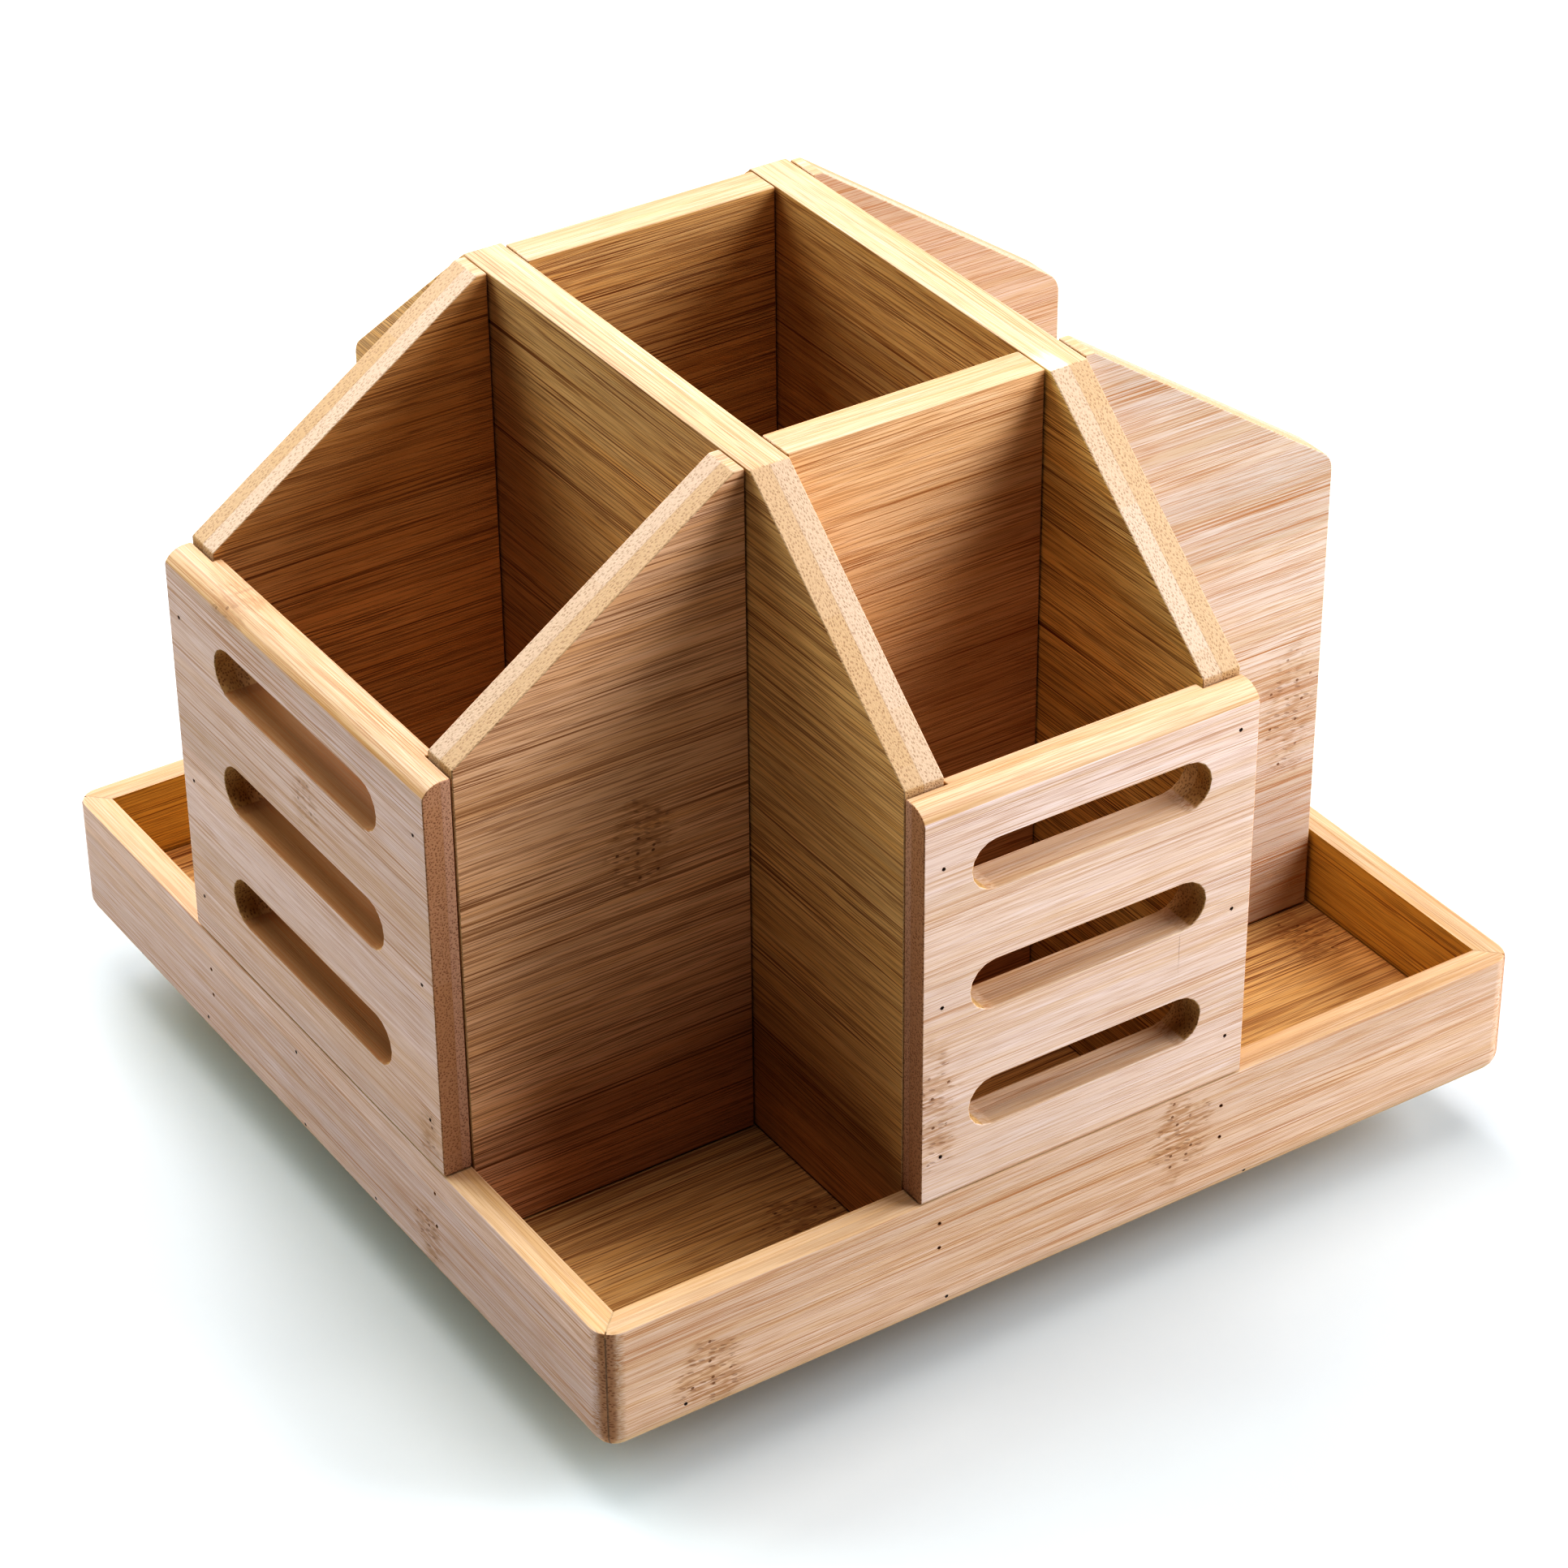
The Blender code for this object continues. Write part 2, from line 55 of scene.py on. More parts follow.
# Floor and lights
FLOOR_RADIUS, FLOOR_SHY = 0.9, 0.2 * MM
MIDDLE = Vector((0, 0, 0.08))  # what the lights face
LIGHT_DISTANCE = 1.1
# name, azimuth and elevation in degrees, width and height, power in watts, colour. Powers and colours
# were fitted until the boards' colours came near the photograph's, and rounded.
SOFTBOXES = (
    ("back", 92, 45, (0.7, 0.9), 8.4, (0.77, 0.80, 1.0)),
    ("overhead", 285, 87, (0.8, 0.8), 5.1, (0.93, 0.92, 1.0)),
    ("front_right", 323, 24, (0.7, 0.9), 15.0, (0.74, 0.82, 1.0)),
    ("back_left", 132, 33, (0.7, 0.9), 6.3, (0.76, 0.90, 1.0)),
)
BACKDROP, BACKDROP_LIGHT = 1.0, 0.01  # its strength as the camera sees it and as it lights the object

# Camera, solved from the corners of the tray and the rack: its azimuth from the front, elevation and
# roll in degrees, its place, and its lens and sensor in mm
CAMERA_TURN = (-32.926, 33.466, -0.577)
CAMERA_PLACE = Vector((-0.41186, -0.63949, 0.56549))
LENS, SENSOR = 108.66, 36


# ---------------------------------------------------------------- shader graphs


class Graph:
    """A material's node tree, with short calls for the nodes used here."""

    def __init__(self, name):
        self.material = bpy.data.materials.new(name)
        self.material.use_nodes = True
        self.tree = self.material.node_tree
        self.shader = self.tree.nodes["Principled BSDF"]

    def put(self, socket, value):
        if isinstance(value, bpy.types.NodeSocket):
            self.tree.links.new(value, socket)
        elif socket.type == "RGBA":
            socket.default_value = (*value, 1)
        else:
            socket.default_value = value

    def node(self, kind, **settings):
        made = self.tree.nodes.new(kind)
        for key, value in settings.items():
            setattr(made, key, value)
        return made

    def math(self, operation, a, b=0.0, c=0.0, clamp=False):
        made = self.node("ShaderNodeMath", operation=operation, use_clamp=clamp)
        for socket, value in zip(made.inputs, (a, b, c)):
            self.put(socket, value)
        return made.outputs[0]

    def add(self, a, b):
        return self.math("ADD", a, b)

    def times(self, a, b):
        return self.math("MULTIPLY", a, b)

    def scaled(self, value, factor, shift):
        return self.math("MULTIPLY_ADD", value, factor, shift)

    def highest(self, values):
        top = values[0]
        for value in values[1:]:
            top = self.math("MAXIMUM", top, value)
        return top

    def vector(self, operation, a, b=(0, 0, 0)):
        made = self.node("ShaderNodeVectorMath", operation=operation)
        self.put(made.inputs[0], a)
        self.put(made.inputs["Scale"] if operation == "SCALE" else made.inputs[1], b)
        return made.outputs["Value" if operation in ("DOT_PRODUCT", "LENGTH") else "Vector"]

    def join(self, x, y, z=0.0):
        made = self.node("ShaderNodeCombineXYZ")
        for socket, value in zip(made.inputs, (x, y, z)):
            self.put(socket, value)
        return made.outputs[0]

    def parts(self, vector):
        made = self.node("ShaderNodeSeparateXYZ")
        self.put(made.inputs[0], vector)
        return made.outputs[0], made.outputs[1], made.outputs[2]

    def noise(self, vector, detail, roughness=0.5):
        made = self.node("ShaderNodeTexNoise")
        self.put(made.inputs["Vector"], vector)
        made.inputs["Scale"].default_value = 1.0
        made.inputs["Detail"].default_value = detail
        made.inputs["Roughness"].default_value = roughness
        return made.outputs["Fac"]

    def cells(self, x, y):
        """Uneven cells about 1 across: the distance to each one's middle, and a number drawn for it."""
        made = self.node("ShaderNodeTexVoronoi", voronoi_dimensions="2D")
        self.put(made.inputs["Vector"], self.join(x, y))
        made.inputs["Scale"].default_value = 1.0
        return made.outputs["Distance"], self.parts(made.outputs["Color"])[0]

    def step(self, value, low, high, to_low=0.0, to_high=1.0):
        """A smooth step as the value goes from low to high, which may be the smaller one."""
        made = self.node("ShaderNodeMapRange", interpolation_type="SMOOTHSTEP")
        for key, number in (("Value", value), ("From Min", low), ("From Max", high),
                            ("To Min", to_low), ("To Max", to_high)):
            self.put(made.inputs[key], number)
        return made.outputs["Result"]

    def mix(self, amount, a, b, blend="MIX"):
        made = self.node("ShaderNodeMix", data_type="RGBA", blend_type=blend)
        for index, value in ((0, amount), (6, a), (7, b)):  # the sockets of its colour kind
            self.put(made.inputs[index], value)
        return made.outputs[2]

    def tinted(self, colour, tint):
        return self.mix(1.0, colour, tint, "MULTIPLY")

    def bump(self, height, distance, strength):
        made = self.node("ShaderNodeBump")
        made.inputs["Distance"].default_value = distance
        made.inputs["Strength"].default_value = strength
        self.put(made.inputs["Height"], height)
        self.put(self.shader.inputs["Normal"], made.outputs["Normal"])


# ---------------------------------------------------------------- bamboo


AXES = {"X": Vector((1, 0, 0)), "Y": Vector((0, 1, 0)), "Z": Vector((0, 0, 1))}

# Sizes in mm: from one fibre bundle to the next, the width of a strip, and the cells along and across
# the grain that hold a dash or a dot of a node mark
BUNDLE, STRIP, DASH, DOT = 0.50, 18.5, (2.2, 0.8), (3.6, 3.0)
PLY_SEAM = 0.05  # half the width of the change from one ply to the other
PLY_SHIFT = 173.0  # sets the grain of the two plies apart
SEED_RISE, SEED_RUN, SEED_STRIP = 37.0, 1.7, 0.31  # set the grain and the strips of the boards apart
GRAIN_DEPTH = 0.05 * MM

# Where one look goes over into another: how far the surface faces along the grain or across it, and in
# mm the height on a slotted plate, a short brad's radius and its place on the outer side of a rail
END_TURN, EDGE_TURN = (0.30, 0.55), (0.36, 0.44)
SLOTS_TOP, BROW_BOTTOM = (34.0, 32.0), (34.0, 36.0)
PLATE_END = (1, 3)  # from a slotted plate's own end, where the ends of its slots have another tint
PIN_RADIUS, PIN_SIDE = (0.42, 0.26), (1.5, 2.5)

# Noises: length along the grain and width across it in mm, offset along the grain, detail, roughness
NOISES = {
    "sway": (70, 16, 3.0, 1.0, 0.5),
    "fine": (90, 0.40, 5.0, 3.0, 0.6),
    "hair": (13, 0.22, 6.0, 1.0, 0.5),
    "broad": (95, 2.6, 7.0, 3.0, 0.6),
    "gleam": (16, 0.30, 8.0, 1.0, 0.5),
    "cloud": (120, 14, 9.0, 2.0, 0.5),
    "lift": (75, 5, 11.0, 1.0, 0.5),
    "bunch": (110, 3.4, 13.0, 2.0, 0.5),
    "roughness": (30, 1.0, 17.0, 2.0, 0.5),
    "mark_fray": (9, 0.6, 21.0, 2.0, 0.6),
    "brow_shade_patches": (30, 0.8, 23.0, 2.0, 0.5),
    "mark_drift": (6, 5, 27.0, 1.0, 0.5),
    "mark_gaps": (3.5, 4.5, 29.0, 2.0, 0.5),
    "mark_bend": (7, 6, 31.0, 1.0, 0.5),
    "mark_smear": (5, 0.7, 33.0, 2.0, 0.6),
}

# Colours of the timber
PALE, WARM, GLEAM = (0.70, 0.465, 0.285), (0.65, 0.38, 0.175), (0.86, 0.66, 0.50)
STREAK, PALE_STREAK = (0.28, 0.120, 0.038), (0.44, 0.195, 0.064)
END_PALE, END_BROWN, PORE = (0.80, 0.60, 0.38), (0.70, 0.47, 0.225), (0.28, 0.12, 0.04)
MARK, MARK_RIM, PIN_DARK = (0.20, 0.085, 0.03), (0.40, 0.20, 0.075), (0.035, 0.018, 0.010)
# painted shade: the patchy brown band on a slotted plate's rounded top edge
BROW_SHADE = (0.48, 0.25, 0.07)

# Tints of a whole ply, which multiply those colours. They are partly the boards' own colour and partly
# painted light and shade: the bluish ones (PINK, ROSE, PALER, GREY) paint cool light on lit outer faces, the
# warm yellow ones deepen the golden shade on inner faces, and SHADED is painted shade.
PINK, ROSE, PALER, GREY = (0.98, 1.05, 1.20), (0.93, 1.11, 1.40), (1.05, 1.20, 1.54), (1.00, 1.11, 1.50)
GOLD, OCHRE, DUSK, RICH = (1.06, 1.02, 0.74), (1.00, 0.99, 0.74), (0.93, 0.90, 0.62), (1.14, 1.24, 0.66)
AMBER, TAWNY, ROAST = (1.18, 1.13, 1.00), (1.09, 1.02, 0.97), (1.20, 1.11, 0.82)
HONEY, SHADED = (1.0, 1.08, 1.0), (0.90, 0.97, 1.10)

# Tints of parts of a board. The one for the right long panel's front bay is painted light, the one for the
# left plate's slots is painted shade, and the one for the front plate's slots is partly the cut's own tone
# and partly painted cool light.
EDGE_TINT, BAY_PAINTED_LIGHT = (1.03, 1.10, 1.08), (1.42, 1.68, 1.80)
LEFT_SLOT_SHADE, FRONT_SLOT_TONE_AND_LIGHT, SLOT_END = (0.62, 0.55, 0.43), (0.98, 1.12, 1.28), (0.80, 0.74, 0.62)

# How a board's ends look, by the last word of its name: the strength of the pores on a sloping and on a
# square end, then the tint of a sloping or rounded end and of a square one
PANEL_END = (0.34, 0.45), (0.83, 0.81, 0.85), (0.84, 0.78, 0.74)
FLOOR_END = (0.60, 0.60), (0.9, 0.82, 0.76), (0.9, 0.82, 0.76)
ENDS = {
    "panel": PANEL_END,
    "wing": PANEL_END,
    "floor": FLOOR_END,
    "disc": FLOOR_END,
    "rail": ((0.60, 0.60), (0.72, 0.58, 0.60), (0.72, 0.58, 0.60)),
    "plate": ((0.60, 0.60), (0.74, 0.58, 0.56), (0.72, 0.57, 0.58)),
}


class Bamboo(Graph):
    """One board of two-ply bamboo.

    Fibre bundles run along one axis, so they are lines on a face and dots on a cut end. Places are in mm
    from the board's middle: run along the grain, height across it and depth through the board.
    """

    def __init__(self, name, seed, along, across):
        super().__init__(name)
        self.name, self.seed, self.slotted = name, seed, name in SLOTS
        low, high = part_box(name)
        self.centre = (low + high) / 2
        axes = AXES[along], AXES[across], AXES[along].cross(AXES[across])
        self.half_run = abs((high - low).dot(axes[0])) / 2 / MM
        where = self.node("ShaderNodeTexCoord")
        place = self.vector("SUBTRACT", where.outputs["Object"], tuple(self.centre))
        self.run, self.height, self.depth = (
            self.times(self.vector("DOT_PRODUCT", place, tuple(axis)), 1 / MM) for axis in axes)
        self.end_on, self.edge_on = (
            self.math("ABSOLUTE", self.vector("DOT_PRODUCT", where.outputs["Normal"], tuple(axis)))
            for axis in axes[:2])
        self.is_end, self.is_edge = self.step(self.end_on, *END_TURN), self.step(self.edge_on, *EDGE_TURN)

        # the grain of the two plies doesn't match, so they lie far apart in the noises
        side = 1.0 if axes[2].dot(self.centre) > 0 else -1.0
        self.outwards = self.times(self.depth, side)
        self.ply = self.step(self.outwards, -PLY_SEAM, PLY_SEAM)
        self.rise = self.add(self.height, self.scaled(self.ply, PLY_SHIFT, seed * SEED_RISE))

        # strips side by side, each with its own tone and hue
        chance = self.node("ShaderNodeTexWhiteNoise", noise_dimensions="1D")
        self.put(chance.inputs["W"], self.math("FLOOR", self.scaled(self.rise, 1 / STRIP, SEED_STRIP * seed)))
        self.strip_tone, self.strip_hue, _ = self.parts(chance.outputs["Color"])

    def field(self, kind):
        """A noise from 0 to 1, long along the grain."""
        size_run, size_across, shift, detail, roughness = NOISES[kind]
        place = self.join(self.scaled(self.run, 1 / size_run, shift + SEED_RUN * self.seed),
                          self.times(self.rise, 1 / size_across),
                          self.times(self.depth, 1 / size_across))
        return self.noise(place, detail, roughness)

    def swing(self, kind, reach):
        """A noise from -reach to reach."""
        return self.scaled(self.field(kind), 2 * reach, -reach)

    def patches(self, kind, low, high, to_low=0.0, to_high=1.0):
        """Patches where a noise goes from low to high."""
        return self.step(self.field(kind), low, high, to_low, to_high)

    def distance(self, x, y):
        return self.vector("LENGTH", self.join(x, y))

    def node_marks(self, marks):
        """How much of a node mark each place is, with edges frayed along the grain."""
        fray, drift = self.swing("mark_fray", 1.2), self.swing("mark_drift", 0.7)
        found = []
        for run, height, size_run, size_height, strength in marks:
            u = self.scaled(self.run, 1 / size_run, -run / size_run)
            v = self.scaled(self.height, 1 / size_height, -height / size_height)
            away = self.distance(self.add(u, fray), self.add(v, drift))
            found.append(self.times(self.step(away, 1.15, 0.55), strength))
        return self.highest(found)

    def bundles(self, bent, near, far):
        """Fibre bundles of uneven strength: full within near of a bundle's middle, none beyond far."""
        away, chance = self.cells(*(self.times(place, 1 / BUNDLE) for place in bent))
        return self.times(self.step(away, far, near), self.step(chance, 0.0, 0.8, 0.3, 1.0))

    def streaks(self, bundle, hair, strength):
        """Streaks of three widths, which gather in bunches and are weaker on a board's edges."""
        bunch = self.patches("bunch", 0.36, 0.64)
        bundle = self.times(bundle, self.scaled(bunch, 0.50, 0.30))
        fine = self.times(self.patches("fine", 0.50, 0.66), self.scaled(bunch, 0.60, 0.26))
        line = self.highest((bundle, fine, self.times(hair, 0.50)))
        line = self.math("MULTIPLY", line, strength, clamp=True)
        if self.slotted:
            return line
        return self.times(line, self.step(self.edge_on, *EDGE_TURN, 1.0, 0.6))

    def tint(self, tints):
        """The tint of each place on the faces and edges."""
        tint = self.mix(self.is_edge, self.mix(self.ply, *tints), EDGE_TINT)
        if self.name == "right_long_panel":
            # Its inner face is paler in the front bay, in place of light that the softboxes don't bring
            # there. The change is hidden by the end of the cross panel.
            front, back = ((corner.y - self.centre.y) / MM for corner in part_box("front_cross_panel"))
            in_bay = self.times(self.step(self.run, back - 1, front + 1),
                                self.step(self.outwards, PLY_SEAM, -PLY_SEAM))
            tint = self.mix(in_bay, tint, self.vector("MULTIPLY", tint, BAY_PAINTED_LIGHT))
        if self.slotted:
            # painted light and shade: the cut faces of the slots take the plate's slot tint, darker in the
            # left plate and bluish in the front one
            in_slot = self.times(self.is_edge, self.step(self.height, *SLOTS_TOP))
            tint = self.mix(in_slot, tint, SLOTS[self.name])
        return tint

    def ground(self, tints):
        """The faces under their streaks: broad stripes, strips, pale flecks and clouds."""
        body = self.mix(self.times(self.patches("broad", 0.42, 0.70), 0.55), PALE, WARM)
        body = self.mix(self.times(self.strip_hue, 0.35), body, WARM)
        body = self.mix(self.times(self.patches("gleam", 0.52, 0.70), 0.22), body, GLEAM)
        shade = self.add(self.scaled(self.strip_tone, 0.14, 0.93),
                         self.patches("cloud", 0.3, 0.7, 0.04, -0.05))
        return self.tinted(body, self.vector("SCALE", self.tint(tints), shade))

    def brow(self, face):
        """The same face with a patchy brown band painted on its rounded top edge, where that turns towards
        the face: painted shade.
        """
        turning = self.times(self.is_edge, self.step(self.edge_on, 0.80, 0.50))
        patchy = self.times(self.patches("brow_shade_patches", 0.38, 0.60, 0.20, 0.80),
                          self.step(self.height, *BROW_BOTTOM))
        return self.mix(self.times(turning, patchy), face, BROW_SHADE)

    def rims(self, face, marked):
        """The same face with the brown of its node marks: a broken rim and a smear."""
        rim = self.times(self.times(marked, self.step(marked, 0.95, 0.45)),
                         self.patches("mark_gaps", 0.42, 0.60))
        smear = self.times(marked, self.patches("mark_smear", 0.42, 0.58))
        brown = self.math("MULTIPLY_ADD", rim, 0.36, self.times(smear, 0.66), clamp=True)
        return self.mix(brown, face, MARK_RIM)

    def dots(self, marked):
        """Slanting dashes and a few dark dots inside the node marks."""
        slant = self.scaled(self.run, 0.30, self.rise)
        dash, dash_chance = self.cells(self.times(self.run, 1 / DASH[0]), self.times(slant, 1 / DASH[1]))
        dot, dot_chance = self.cells(self.times(self.run, 1 / DOT[0]), self.times(self.rise, 1 / DOT[1]))
        dash = self.times(self.step(dash, 0.40, 0.22), self.step(dash_chance, 0.45, 0.85))
        dot = self.times(self.step(dot, 0.12, 0.07), self.step(dot_chance, 0.40, 0.60))
        patchy = self.highest((self.times(dash, 0.40), self.times(dot, 0.85)))
        return self.times(patchy, self.step(marked, 0.25, 0.7))

    def cut_end(self, pore):
        """The cut ends, whose tint depends on how square the cut is. The outer ply's are browner."""
        tone = self.mix(self.math("MULTIPLY_ADD", self.ply, 0.65, self.times(self.strip_tone, 0.30)),
                        END_PALE, END_BROWN)
        square = self.step(self.end_on, 0.72, 0.97)
        pore_strengths, *end_tints = ENDS[self.name.split("_")[-1]]
        end = self.mix(self.times(pore, self.step(square, 0.0, 1.0, *pore_strengths)), tone, PORE)
        tint = self.mix(square, *end_tints)
        if self.slotted:
            near, far = (self.half_run - reach for reach in PLATE_END)
            in_slot = self.step(self.math("ABSOLUTE", self.run), near, far)
            tint = self.mix(in_slot, tint, SLOT_END)
        return self.tinted(end, tint)

    def pin_heads(self, pins):
        """The sunk heads of short brads in the outer face."""
        heads = [self.step(self.distance(self.math("SUBTRACT", self.run, run),
                                         self.math("SUBTRACT", self.height, height)), *PIN_RADIUS)
                 for run, height in pins]
        return self.times(self.highest(heads), self.step(self.outwards, *PIN_SIDE))


def bamboo(name, seed, along, across, tints, strength, marks):
    """The material of one board: its name and number, then its row of BOARDS."""
    g = Bamboo(name, seed, along, across)
    marked = g.node_marks(marks)
    sway = g.scaled(g.swing("mark_bend", 1.2), marked, g.swing("sway", 1.5))
    bent = g.add(g.rise, sway), g.add(g.depth, g.swing("lift", 1.2))
    bundle, pore = g.bundles(bent, 0.12, 0.32), g.bundles(bent, 0.16, 0.44)
    hair = g.patches("hair", 0.50, 0.68)
    line = g.streaks(bundle, hair, strength)

    # a bluish, light ply has paler streaks
    streak_tones = (STREAK if tint[2] < 1 else PALE_STREAK for tint in tints)
    face = g.mix(line, g.ground(tints), g.mix(g.ply, *streak_tones))
    if g.slotted:
        face = g.brow(face)
    dots = g.dots(marked)
    face = g.mix(dots, g.rims(face, marked), MARK)
    colour = g.mix(g.is_end, face, g.cut_end(pore))
    dents = [(line, 1.0), (hair, 0.3), (g.times(pore, g.is_end), 1.0), (dots, 1.5)]
    if name in SHORT_BRADS:
        pinned = g.pin_heads(SHORT_BRADS[name])
        colour = g.mix(pinned, colour, PIN_DARK)
        dents.append((pinned, 8.0))
    g.put(g.shader.inputs["Base Color"], colour)

    rough = g.scaled(g.is_end, 0.14, g.scaled(g.field("roughness"), 0.16, 0.44))
    g.put(g.shader.inputs["Roughness"], rough)
    g.shader.inputs["Specular IOR Level"].default_value = 0.30
    relief = 0.0
    for dent, deepness in dents:
        relief = g.scaled(dent, -deepness, relief)
    g.bump(relief, GRAIN_DEPTH, 0.7)
    return g.material


def dress(obj, material):
    obj.data.materials.clear()
    obj.data.materials.append(material)


def ease(obj, width, spare=()):
    """Slightly rounded edges on a CAD piece, through modifiers only, but none near the spare points."""
    mesh = obj.data
    for polygon in mesh.polygons:
        polygon.use_smooth = True
    weld = obj.modifiers.new("weld", "WELD")
    weld.merge_threshold = WELD_WITHIN
    flat = obj.modifiers.new("flat", "DECIMATE")
    flat.decimate_type = "DISSOLVE"
    flat.angle_limit = FLAT_WITHIN
    if width:
        bevel = obj.modifiers.new("ease", "BEVEL")
        bevel.width = width
        bevel.segments = EASED_STEPS
        bevel.use_clamp_overlap = False
        if spare:
            eased = obj.vertex_groups.new(name="eased")
            kept = [v.index for v in mesh.vertices if all((v.co - p).length > BRAD_CLEAR for p in spare)]
            eased.add(kept, 1.0, "REPLACE")
            bevel.limit_method = "VGROUP"
            bevel.vertex_group = "eased"
        else:
            bevel.limit_method = "ANGLE"
            bevel.angle_limit = SHARP
    else:
        split = obj.modifiers.new("edges", "EDGE_SPLIT")
        split.split_angle = RAIL_SHARP
        split.use_edge_sharp = False
    weighted = obj.modifiers.new("shading", "WEIGHTED_NORMAL")
    weighted.weight = FACE_WEIGHT


# ---------------------------------------------------------------- the bamboo pieces


# name: the grain's axis and the one across it, tints of the inner and outer ply, strength of the streaks,
# node marks as (place along, place across, size along, size across, strength), in mm from the middle
BOARDS = {
    "front_rail": ("X", "Z", (PINK, PINK), 1.0, ((22, 4, 6.5, 9.5, 1.0), (-80, -4, 7, 8, 1.0))),
    "right_rail": ("Y", "Z", (RICH, HONEY), 1.0, ((52, -3, 6, 9, 0.9),)),
    "back_rail": ("X", "Z", (RICH, HONEY), 1.0, ((-38, 3, 6, 9, 0.9),)),
    "left_rail": ("Y", "Z", (GREY, GREY), 1.0, ((-40, -5, 5, 7, 0.8),)),
    "tray_floor": ("X", "Y", (OCHRE, OCHRE), 1.4,
                   ((-42, -76, 9, 9, 0.9), (88, -57, 7, 9, 0.9), (60, 72, 7, 9, 0.8))),
    "left_long_panel": ("Y", "Z", (GOLD, GOLD), 1.3, ((12, -22, 7, 9, 0.7),)),
    "right_long_panel": ("Y", "Z", (DUSK, HONEY), 1.3, ((22, 8, 6, 9, 0.8),)),
    "front_cross_panel": ("X", "Z", (HONEY, AMBER), 1.3, ((4, -40, 6, 9, 0.6),)),
    "back_cross_panel": ("X", "Z", (GOLD, HONEY), 1.3, ((-9, 12, 6, 9, 0.6),)),
    "left_front_wing": ("X", "Z", (GOLD, TAWNY), 1.2, ((7, 2, 7, 10, 0.9),)),
    "left_back_wing": ("X", "Z", (ROAST, HONEY), 1.1, ((-14, -8, 6, 9, 0.7),)),
    "right_front_wing": ("X", "Z", (HONEY, ROSE), 1.1, ((22, -22, 6.5, 15, 0.75),)),
    "right_back_wing": ("X", "Z", (SHADED, HONEY), 1.1, ((-8, -26, 6, 9, 0.8),)),
    "front_slotted_plate": ("X", "Z", (PALER, PALER), 0.8, ((-33, -22, 4.5, 15, 0.8),)),
    "left_slotted_plate": ("Y", "Z", (GREY, GREY), 0.95,
                           ((25, 41, 6, 4, 0.5), (-3, 14, 5, 6, 0.5), (-43, -35, 4, 6, 0.6))),
    "base_disc": ("X", "Y", (GOLD, GOLD), 1.0, ((-30, 22, 7, 9, 0.9), (38, -35, 6, 9, 0.9))),
}
# The tint of the cut faces in the slotted plates: painted shade in the left plate, and partly the cut's own
# tone, partly painted cool light in the front plate
SLOTS = {"front_slotted_plate": FRONT_SLOT_TONE_AND_LIGHT, "left_slotted_plate": LEFT_SLOT_SHADE}

# Short brads that hold the tray's floor, as (place along, height from the rail's middle), in mm
SHORT_BRADS = {
    "left_rail": ((46.8, -8.3), (76.6, -11.1), (7.6, -9.7), (-19.8, -9.4), (8.9, 6.6)),
    "front_rail": ((38.1, -10.8), (-29.7, -9.7), (-85.2, -8.3)),
    "right_rail": ((-61.0, -9.6), (3.5, -10.4), (58.2, -9.1)),
    "back_rail": ((-52.4, -10.2), (6.8, -9.3), (66.1, -10.5)),
}


def brad_heads():
    """The outer end of each brad."""
    heads = []
    for name in nodes:
        if name.startswith("brad"):
            low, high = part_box(name)
            middle, reach = (low + high) / 2, (high - low) / 2
            side = 0 if reach.x > reach.y else 1
            middle[side] += math.copysign(reach[side], middle[side])
            heads.append(middle)
    return heads


def bamboo_pieces():
    """The material and edges of every board. The rails' edges are eased in CAD."""
    for seed, (name, board) in enumerate(BOARDS.items(), 1):
        dress(nodes[name], bamboo(name, seed, *board))
        width = 0 if name.endswith("rail") else EASED_EDGE
        spare = brad_heads() if name in SLOTS else ()
        ease(nodes[name], width, spare)


def glue():
    """Dried glue with specks of dust, pale where it faces up and brown on its sides."""
    g = Graph("mitre_glue")
    where = g.node("ShaderNodeTexCoord")
    grit = g.noise(g.vector("SCALE", where.outputs["Object"], 900.0), 3.0, 0.6)
    upward = g.step(g.parts(where.outputs["Normal"])[2], 0.3, 0.6)
    clean = g.mix(upward, (0.34, 0.20, 0.11), (0.60, 0.42, 0.24))
    dusty = g.mix(upward, (0.22, 0.12, 0.06), (0.50, 0.33, 0.17))
    g.put(g.shader.inputs["Base Color"], g.mix(g.step(grit, 0.3, 0.7), clean, dusty))
    g.put(g.shader.inputs["Roughness"], g.scaled(grit, 0.2, 0.5))
    g.bump(grit, 0.02 * MM, 0.5)
    return g.material


def glue_outline():
    """A mitre's outline, just under the surface, as (distance from the tray's axis, height)."""
    low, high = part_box("front_rail")
    inner, round_at = -high.y * math.sqrt(2), (-low.y - RAIL_ROUND) * math.sqrt(2)
    radius = RAIL_ROUND - GLUE_SHY
    outline = [(inner + GLUE_SHY, high.z - GLUE_SHY), (inner + GLUE_SHY, low.z + GLUE_SHY)]
    for k in range(GLUE_STEPS + 1):
        angle = -math.pi / 2 + k * math.pi / 2 / GLUE_STEPS
        outline.append((round_at + radius * math.cos(angle),
                        low.z + RAIL_ROUND + radius * math.sin(angle)))
    outline += [(round_at + radius, high.z - RAIL_EASE),
                (round_at + radius - RAIL_EASE, high.z - GLUE_SHY)]
    return outline


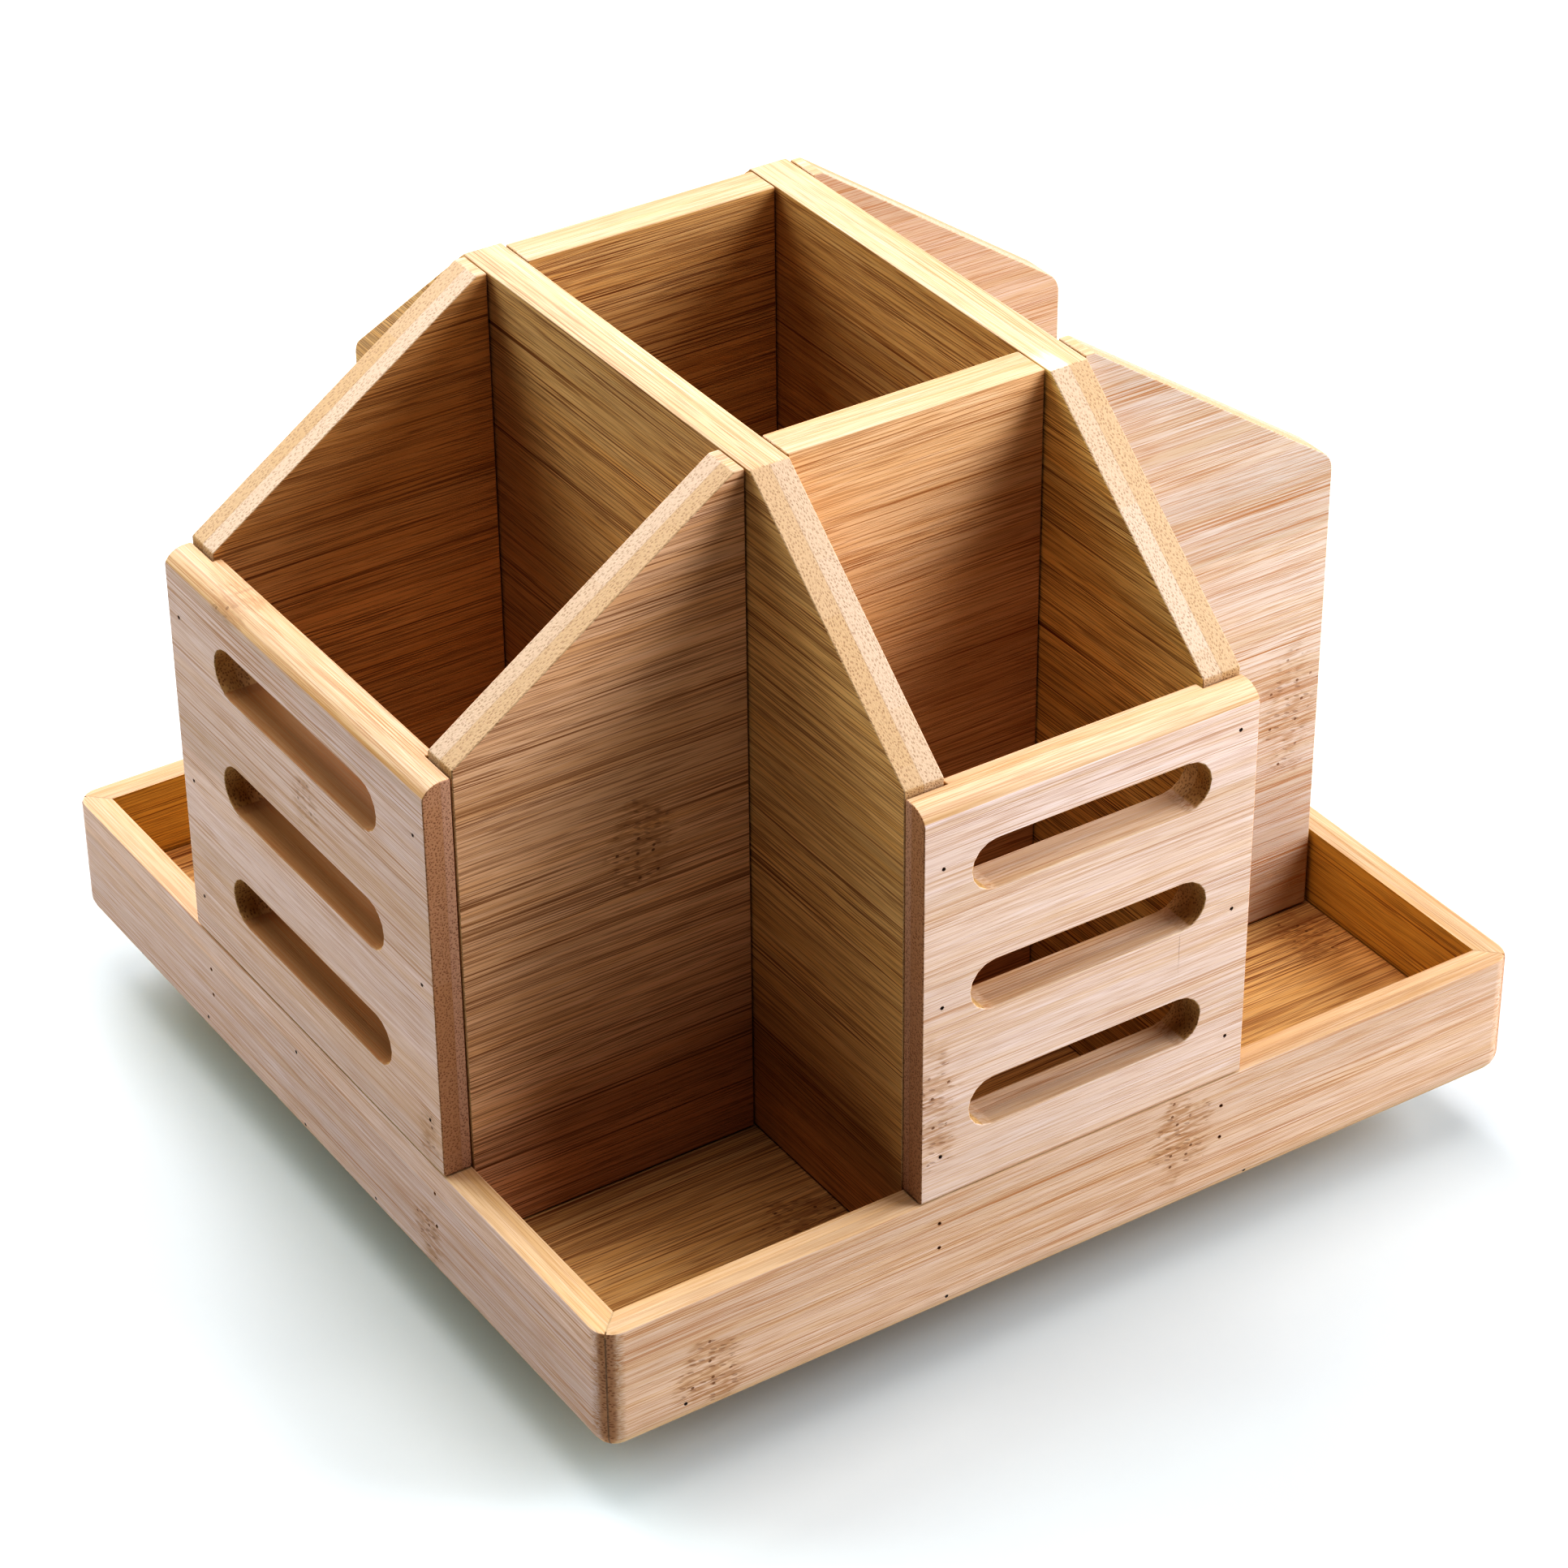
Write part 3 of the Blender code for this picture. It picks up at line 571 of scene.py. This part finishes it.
def mitre_fills():
    """A thin sheet of dried glue and dust in each of the tray's mitres."""
    material, outline = glue(), glue_outline()
    for corner in range(4):
        angle = math.radians(45 + 90 * corner)
        out = Vector((math.cos(angle), math.sin(angle), 0))
        side = Vector((-out.y, out.x, 0))
        bm = bmesh.new()
        rings = [[bm.verts.new(out * d + Vector((0, 0, z)) + side * w) for d, z in outline]
                 for w in (-GLUE_HALF, GLUE_HALF)]
        bm.faces.new(rings[0])
        bm.faces.new(reversed(rings[1]))
        for k in range(len(outline)):
            j = (k + 1) % len(outline)
            bm.faces.new((rings[0][j], rings[0][k], rings[1][k], rings[1][j]))
        bmesh.ops.recalc_face_normals(bm, faces=bm.faces)
        mesh = bpy.data.meshes.new("mitre_glue")
        bm.to_mesh(mesh)
        bm.free()
        piece = bpy.data.objects.new(f"mitre_glue_{corner + 1}", mesh)
        bpy.context.scene.collection.objects.link(piece)
        dress(piece, material)
        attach(piece, "organizer")


def metal(name, colour, roughness):
    g = Graph(name)
    where = g.node("ShaderNodeTexCoord").outputs["Object"]
    grain = g.noise(g.vector("MULTIPLY", where, (4000, 4000, 900)), 3.0, 0.6)
    smudge = g.noise(g.vector("SCALE", where, 60.0), 3.0, 0.6)
    g.put(g.shader.inputs["Base Color"],
          g.mix(g.step(smudge, 0.3, 0.7), colour, tuple(0.75 * c for c in colour)))
    g.shader.inputs["Metallic"].default_value = 1.0
    g.put(g.shader.inputs["Roughness"], g.scaled(grain, 0.2, roughness))
    g.bump(grain, 0.01 * MM, 0.4)
    return g.material


def rubber(name):
    g = Graph(name)
    where = g.node("ShaderNodeTexCoord").outputs["Object"]
    grit = g.noise(g.vector("SCALE", where, 2500.0), 3.0, 0.6)
    g.put(g.shader.inputs["Base Color"], g.mix(grit, (0.030, 0.030, 0.032), (0.060, 0.058, 0.056)))
    g.put(g.shader.inputs["Roughness"], g.scaled(grit, 0.2, 0.7))
    g.bump(grit, 0.03 * MM, 0.6)
    return g.material


def hardware():
    """Everything that isn't a board: brads, feet, and the bearing with its screws."""
    zinc = metal("zinc_plated_steel", (0.62, 0.61, 0.58), 0.30)
    special = {"brad": metal("brad_steel", (0.035, 0.024, 0.018), 0.5), "foot": rubber("foot_rubber")}
    for name, obj in nodes.items():
        if name not in BOARDS:
            dress(obj, special.get(name.split("_")[0], zinc))


# ---------------------------------------------------------------- floor, light and camera


def stage():
    """A round, pale, matt floor just under the feet."""
    bpy.ops.mesh.primitive_circle_add(vertices=128, radius=FLOOR_RADIUS, fill_type="NGON",
                                      location=(0, 0, -FLOOR_SHY))
    floor = bpy.context.object
    floor.name = "floor"
    g = Graph("floor")
    where = g.node("ShaderNodeTexCoord").outputs["Object"]
    faint = g.noise(g.vector("SCALE", where, 3.0), 2.0)
    g.put(g.shader.inputs["Base Color"], g.mix(faint, (0.69, 0.688, 0.61), (0.71, 0.708, 0.63)))
    g.shader.inputs["Roughness"].default_value = 0.9
    g.shader.inputs["Specular IOR Level"].default_value = 0.1
    dress(floor, g.material)


def softbox(name, azimuth, elevation, size, power, colour):
    """An area light on a dome round the organizer. Azimuth 0 is to the right, 90 behind, in degrees."""
    data = bpy.data.lights.new(name, "AREA")
    data.shape = "RECTANGLE"
    data.size, data.size_y = size
    data.energy = power
    data.color = colour
    obj = bpy.data.objects.new(name, data)
    bpy.context.scene.collection.objects.link(obj)
    azimuth, elevation = math.radians(azimuth), math.radians(elevation)
    out = Vector((math.cos(elevation) * math.cos(azimuth), math.cos(elevation) * math.sin(azimuth),
                  math.sin(elevation)))
    obj.location = MIDDLE + LIGHT_DISTANCE * out
    obj.rotation_euler = out.to_track_quat("Z", "Y").to_euler()


def light():
    """Four softboxes round a pale table, before a white backdrop that adds hardly any light."""
    world = bpy.data.worlds.new("studio")
    bpy.context.scene.world = world
    world.use_nodes = True
    tree = world.node_tree
    backdrop = tree.nodes["Background"]
    backdrop.inputs["Color"].default_value = (1, 1, 1, 1)
    path = tree.nodes.new("ShaderNodeLightPath")
    seen = tree.nodes.new("ShaderNodeMapRange")
    seen.inputs["To Min"].default_value = BACKDROP_LIGHT
    seen.inputs["To Max"].default_value = BACKDROP
    tree.links.new(path.outputs["Is Camera Ray"], seen.inputs["Value"])
    tree.links.new(seen.outputs["Result"], backdrop.inputs["Strength"])
    for box in SOFTBOXES:
        softbox(*box)


def camera():
    """The camera at the photograph's angle."""
    azimuth, elevation, roll = (math.radians(a) for a in CAMERA_TURN)
    ahead = Vector((-math.sin(azimuth) * math.cos(elevation),
                    math.cos(azimuth) * math.cos(elevation), -math.sin(elevation)))
    right = Vector((math.cos(azimuth), math.sin(azimuth), 0))
    above = right.cross(ahead)
    right, above = (math.cos(roll) * right + math.sin(roll) * above,
                    math.cos(roll) * above - math.sin(roll) * right)
    data = bpy.data.cameras.new("camera")
    data.lens, data.sensor_width = LENS, SENSOR
    data.clip_start, data.clip_end = 0.05, 20
    obj = bpy.data.objects.new("camera", data)
    bpy.context.scene.collection.objects.link(obj)
    turn = Matrix((right, above, -ahead)).transposed().to_4x4()
    obj.matrix_world = Matrix.Translation(CAMERA_PLACE) @ turn
    bpy.context.scene.camera = obj


bamboo_pieces()
mitre_fills()
hardware()
stage()
light()
camera()
bpy.context.scene.view_settings.view_transform = "Standard"
bpy.context.scene.view_settings.look = "Very High Contrast"
